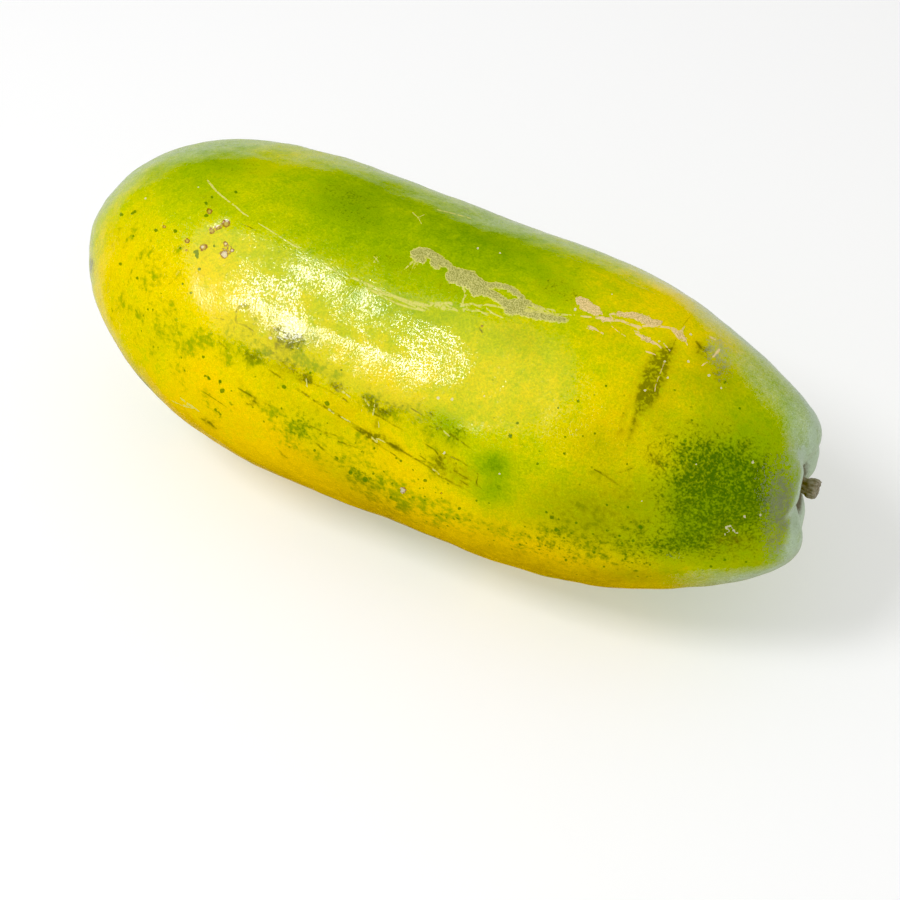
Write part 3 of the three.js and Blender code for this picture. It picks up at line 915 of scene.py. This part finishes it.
def stroke_mask(n, name, ragged, raggedness, edge, reach):
    """1 along the strokes of that name, with an uneven edge, and the third number stored with them."""
    across, outside, extra = n.parts(name)
    line = n.raised(ragged, raggedness, n.math("ABSOLUTE", across))
    return n.times(n.step(*edge, line), n.step(*reach, outside)), extra


def spot_mask(n, name, ragged, raggedness):
    """1 inside the spots of that name, with an uneven edge, and the distance from their middle in radii."""
    x, y, outside = n.parts(name)
    radius = n.math("SQRT", n.raised(x, x, n.times(y, y)))
    edge = n.raised(ragged, raggedness, radius)
    return n.times(n.step(*SPOT_EDGE, edge), n.step(*SPOT_REACH, outside)), radius


def skin_paint(n):
    noises = {name: n.noise(*settings) for name, settings in NOISES.items()}
    middle, fine, grain, speck = (noises[name] for name in ("middle", "fine", "grain", "speck"))
    ragged = n.swing(noises, RAGGED_SWING)
    ripe_and_shade = n.plus(n.swing(noises, RIPE_SWING), n.read("ripe_and_shade"))
    stops = [(at / RIPENESS_TOP, colour) for at, colour in RIPENESS_AND_SHADE_COLOURS]
    paint = Paint(n, n.ramp(n.times(ripe_and_shade, 1 / RIPENESS_TOP), stops))
    paint.layer("mottle", noises)
    paint.layer("dark", noises)

    # Green freckles, thickest where the freckle patches are.
    for cells_per_metre, size, strength in FRECKLES:
        away, pick = n.cells(cells_per_metre)
        away = n.plus(away, n.swing(noises, {"grain": 0.3}))
        chosen = n.step(0.0, 0.12, n.math("SUBTRACT", n.times(n.read("freckle"), 0.7), pick))
        dot = n.times(n.step(size, size * 0.5, away), chosen)
        paint.coat(dot, strength, FRECKLE_GREEN)

    # A soft olive darkening and olive stains, then scuffs, and pale wax with painted sheen and a painted
    # crest highlight.
    # Olive darkening, partly painted shade along the underside.
    paint.coat(n.read("shade"), n.plus(n.swing(noises, {"fine": 1.0}), 1.0), STAIN_AND_SHADE_OLIVE)
    stain = n.times(n.read("stain"), n.plus(n.swing(noises, STAIN_SWING), 1.0))
    paint.coat(n.step(0.0, 1.0, stain), 0.9, STAIN_AND_SHADE_OLIVE)
    paint.layer("smoke", noises)
    wax_and_sheen = paint.layer("wax_and_sheen", noises)

    # Round green spots, and scratches.
    dot, _ = spot_mask(n, "green", ragged, raggedness=0.5)
    paint.coat(dot, 0.8, FRECKLE_GREEN)
    line, _ = stroke_mask(n, "scratch", ragged, raggedness=0.8, edge=(1.9, 0.1), reach=(1.5, 0.0))
    line = n.times(line, n.step(0.32, 0.6, middle), n.step(0.3, 0.56, fine))
    paint.coat(line, 0.85, SCRATCH_OLIVE)

    # Cork, its holes and its threads.
    raggedness = (2.0, 1.2, 2.0)
    fields = zip(raggedness, n.parts("cork"))
    body, hole, pink = (n.raised(ragged, uneven, field) for uneven, field in fields)
    body = n.math("MINIMUM", body, hole)
    thread, picture_x = stroke_mask(n, "thread", ragged, raggedness=0.6, edge=(1.4, 0.4), reach=(1.2, 0.2))
    thread = n.times(thread, n.step(0.36, 0.5, n.noise(700, 3)))
    tone = n.mix(n.step(0.42, 0.58, speck), CORK_SHADE, CORK_TAN)
    tone = n.mix(n.step(1.5, 0.1, body), tone, CORK_EDGE)
    pink_tone = n.mix(n.step(0.38, 0.56, speck), PINK_SHADE, CORK_PINK)
    thread_tone = n.mix(n.step(*PINK_FROM, picture_x), CORK_EDGE, CORK_PINK)
    body, pink = (n.step(*SCAR_EDGE, field) for field in (body, pink))
    paint.coat(body, 0.92, tone)
    paint.coat(pink, 0.9, pink_tone)
    paint.coat(thread, 0.85, thread_tone)
    scar = n.largest(body, pink, thread)

    # Brown spots with dark rims, then pale ones.
    inside, radius = spot_mask(n, "ringed", ragged, raggedness=0.5)
    rim = n.times(inside, n.step(0.3, 0.9, radius))
    paint.coat(inside, 0.6, SPOT_BROWN)
    paint.coat(rim, 0.95, RING_BROWN)
    inside, _ = spot_mask(n, "pale", ragged, raggedness=1.1)
    paint.coat(inside, 0.7, SPOT_PALE)

    # Dry brown floor of the hollow, with painted shade where it reaches further on the underside, and the
    # blossom tip.
    stem_away, tip_away, _ = n.parts("ends")
    dry_and_shaded = n.step(*DRY_AND_SHADED_FLOOR, n.raised(ragged, DRY_UNEVEN, stem_away))
    paint.coat(dry_and_shaded, 0.9, SOCKET_BROWN_AND_SHADE)
    tip = n.step(*DRY_TIP, n.raised(ragged, DRY_UNEVEN, tip_away))
    paint.coat(tip, 0.85, TIP_BROWN)

    # Fine light and dark grain over everything.
    brighter = n.add("ShaderNodeVectorMath", operation="SCALE")
    n.plug(brighter.inputs[0], paint.colour)
    n.plug(brighter.inputs["Scale"], n.plus(n.swing(noises, {"speck": 0.45, "grain": 0.35}), 1.0))

    # Gloss, broken up speck by speck where the skin is dull, and fine pits.
    stipples = {"patchy": n.noise(560, 3, stretch=(0.6, 1, 1)), "specks": n.noise(1600, 2)}
    stipple = n.swing(stipples, {"patchy": 1.6, "specks": 3.6})
    stipple = n.step(-0.12, 0.22, n.plus(stipple, n.raised(n.read("dull"), 1.6, -0.7)))
    rough = n.raised(stipple, DULL_ROUGHNESS - GLOSS_ROUGHNESS, GLOSS_ROUGHNESS)
    dull = n.largest(scar, dry_and_shaded, n.times(wax_and_sheen, 0.5))
    pits = n.plus(grain, n.times(n.noise(480, 2), 0.5))
    height = n.raised(scar, 0.5, n.times(pits, 1.5))
    height = n.raised(line, -0.3, height)
    return {
        "Base Color": brighter.outputs[0],
        "Roughness": n.largest(rough, n.times(dull, SCAR_ROUGHNESS)),
        "Specular IOR Level": SKIN_SPECULAR,
        "Normal": n.bump(height, strength=1.0, depth_mm=PIT_DEPTH_MM),
    }


# ---------------- the stalk stub, in mm
STUB_PROFILE = [(-2.7, 4.3), (0.4, 4.1), (2, 3.3), (3.6, 3.1), (4.8, 3.7), (5.9, 4.3), (8.2, 4.3), (9.2, 3.6)]
STUB_DISH = 0.5
STUB_RINGS = 60
STUB_AROUND = 96
FACE_RINGS = 12
PROFILE_BLUR = np.array([1, 2, 3, 2, 1]) / 9
STUB_RIDGE = 0.06
FIBRE_DEPTH = 0.05
FIBRES = 9.5
STUB_TWIST = (0.9, 1.4)  # of the ridges and of the fibres, in radians over its length
WOBBLES = ((0.22, 3.0, 11), (0.1, 1.4, 12))  # height, wavelength and seed
WOBBLE_TOP = 0.1
STUB_SET_IN = 0.12
CRACKS = (0.25, 2.0, 13)
CRACK_REACH = 1.0


def stub_mesh():
    """The dried stalk: the solid's profile, drawn in with fibres, cracks and a rough cut face."""
    along, radius = np.array(STUB_PROFILE).T
    side = np.linspace(along[0], along[-1], STUB_RINGS)
    rings = np.convolve(np.pad(np.interp(side, along, radius), 2, mode="edge"), PROFILE_BLUR, "valid")
    angle = np.arange(STUB_AROUND) / STUB_AROUND * TURN
    share = ((side - side[0]) / (side[-1] - side[0]))[:, None]
    ridges = STUB_RIDGE * (np.cos(RIDGES * angle + STUB_TWIST[0] * share) - 1) / 2
    fibres = -FIBRE_DEPTH * np.abs(np.sin(FIBRES * angle + STUB_TWIST[1] * share + 0.8 * np.sin(3 * angle)))
    wall = rings[:, None] * (1 + ridges + fibres)
    inward = np.linspace(1, 0, FACE_RINGS + 2)[1:-1, None]
    dished = side[-1] - STUB_DISH * (1 - inward**2)
    x = np.concatenate([side[:, None], dished]) * np.ones(STUB_AROUND)
    r = np.vstack([wall, wall[-1] * inward])
    points = np.stack([x, -r * np.sin(angle), r * np.cos(angle)], -1).reshape(-1, 3)
    wobble = sum(height * wave_noise(points, wave, seed) for height, wave, seed in WOBBLES)
    centre = points * [0, 1, 1]
    outward = centre / (np.linalg.norm(centre, axis=1, keepdims=True) + 1e-6)
    points = points + outward * (np.minimum(wobble, WOBBLE_TOP) - STUB_SET_IN)[:, None]
    at_face = points[:, 0] > side[-1] - CRACK_REACH
    points[:, 0] -= CRACKS[0] * np.abs(wave_noise(points, *CRACKS[1:])) * at_face
    points = np.vstack([points, [[side[0], 0, 0]], [[side[-1] - STUB_DISH - 0.1, 0, 0]]])
    faces = tube_faces(0, len(x), STUB_AROUND, len(points) - 2, len(points) - 1)
    return make_mesh("cut_stalk", points + foot, faces)


def stalk_paint(n):
    fibre = n.noise(420, 4, stretch=(0.4, 1.4, 1.4), rough=0.7)
    rust = n.times(n.step(0.55, 0.72, n.noise(1500, 3)), 0.5)
    return {
        "Base Color": n.mix(rust, n.ramp(fibre, STALK_COLOURS), STALK_RUST),
        "Roughness": 0.85,
        "Specular IOR Level": 0.25,
        "Normal": n.bump(fibre, strength=0.8, depth_mm=0.3),
    }


stalk = stub_mesh()
fruit.data.materials.append(material("papaya_skin", skin_paint))
stalk.data.materials.append(material("dry_stalk", stalk_paint))
for piece, node, finish in ((fruit, "fruit", "fruit_skin"), (stalk, "stem", "stalk")):
    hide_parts(node)
    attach(piece, "root")

# ---------------- floor, lights and camera
FLOOR_SIZE = 40
FLOOR_WHITE = 0.66
FLOOR_GLOW = 0.31
LIGHT_DISTANCE = 1.3
AIM_AT = Vector((0, 0, 0.07))


def floor_paint(n):
    return {
        "Base Color": (FLOOR_WHITE, FLOOR_WHITE, FLOOR_WHITE, 1),
        "Roughness": 1.0,
        "Specular IOR Level": 0.0,
        "Emission Color": (1, 1, 1, 1),
        "Emission Strength": FLOOR_GLOW,
    }


def floor():
    bpy.ops.mesh.primitive_plane_add(size=FLOOR_SIZE, location=(0, 0, 0))
    plane = bpy.context.object
    plane.name = "floor"
    plane.data.materials.append(material("floor", floor_paint))
    plane.visible_glossy = False


def softbox(name, towards, size, power, gloss):
    """A rectangular light in that direction from the object: it lights, or only shines in the gloss."""
    light = bpy.data.lights.new(name, "AREA")
    light.shape = "RECTANGLE"
    light.size, light.size_y = size
    light.energy = power
    obj = bpy.data.objects.new(name, light)
    away = Vector(towards).normalized()
    side = (Vector((1, 0, 0)) - away * away.x).normalized()
    obj.rotation_euler = Matrix((side, away.cross(side), away)).transposed().to_euler()
    obj.location = AIM_AT + away * LIGHT_DISTANCE
    obj.visible_glossy = gloss
    obj.visible_diffuse = not gloss
    bpy.context.collection.objects.link(obj)


def white_room(strength, table, board, above):
    """Even white light all round; the gloss shows a white table beyond, a warm board, a dim room above."""
    world = bpy.data.worlds.new("room")
    world.use_nodes = True
    n = Nodes(world.node_tree)
    x, y, z = n.split(n.add("ShaderNodeTexCoord").outputs["Generated"])
    away = n.raised(y, 0.97, n.times(x, -0.22))
    far = n.times(n.step(0.0, 0.45, n.largest(away, n.times(x, 0.8))), n.step(-0.86, -0.62, z))
    mirrored = n.mix(n.step(-0.06, 0.12, z), n.mix(far, board, table), above)
    glossy = n.add("ShaderNodeLightPath").outputs["Is Glossy Ray"]
    n.plug(n.tree.nodes["Background"].inputs[0], n.mix(glossy, (strength,) * 3, mirrored))
    bpy.context.scene.world = world


def camera():
    data = bpy.data.cameras.new("camera")
    data.lens = LENS_MM
    data.sensor_width = SENSOR_MM
    data.clip_end = CAMERA_REACH
    obj = bpy.data.objects.new("camera", data)
    obj.location = CAMERA_AT.tolist()
    obj.rotation_euler = Euler((np.radians(90 - CAMERA_DOWN), 0, np.radians(CAMERA_AZIMUTH)))
    bpy.context.collection.objects.link(obj)
    bpy.context.scene.camera = obj


camera()
floor()
softbox("key", towards=(-0.33, -0.46, 0.82), size=(0.4, 0.4), power=8.6, gloss=False)
softbox("gleam", towards=(-0.435, -0.54, 0.715), size=(0.35, 1.06), power=61.0, gloss=True)
white_room(strength=0.68, table=(0.80, 0.82, 0.84), board=(0.22, 0.12, 0.04), above=(0.08, 0.08, 0.08))
view = bpy.context.scene.view_settings
view.view_transform = "Standard"
view.use_curve_mapping = True
view.curve_mapping.black_level = (0.0, 0.0, 0.03)  # the photo has next to no blue in its dark tones
view.curve_mapping.update()
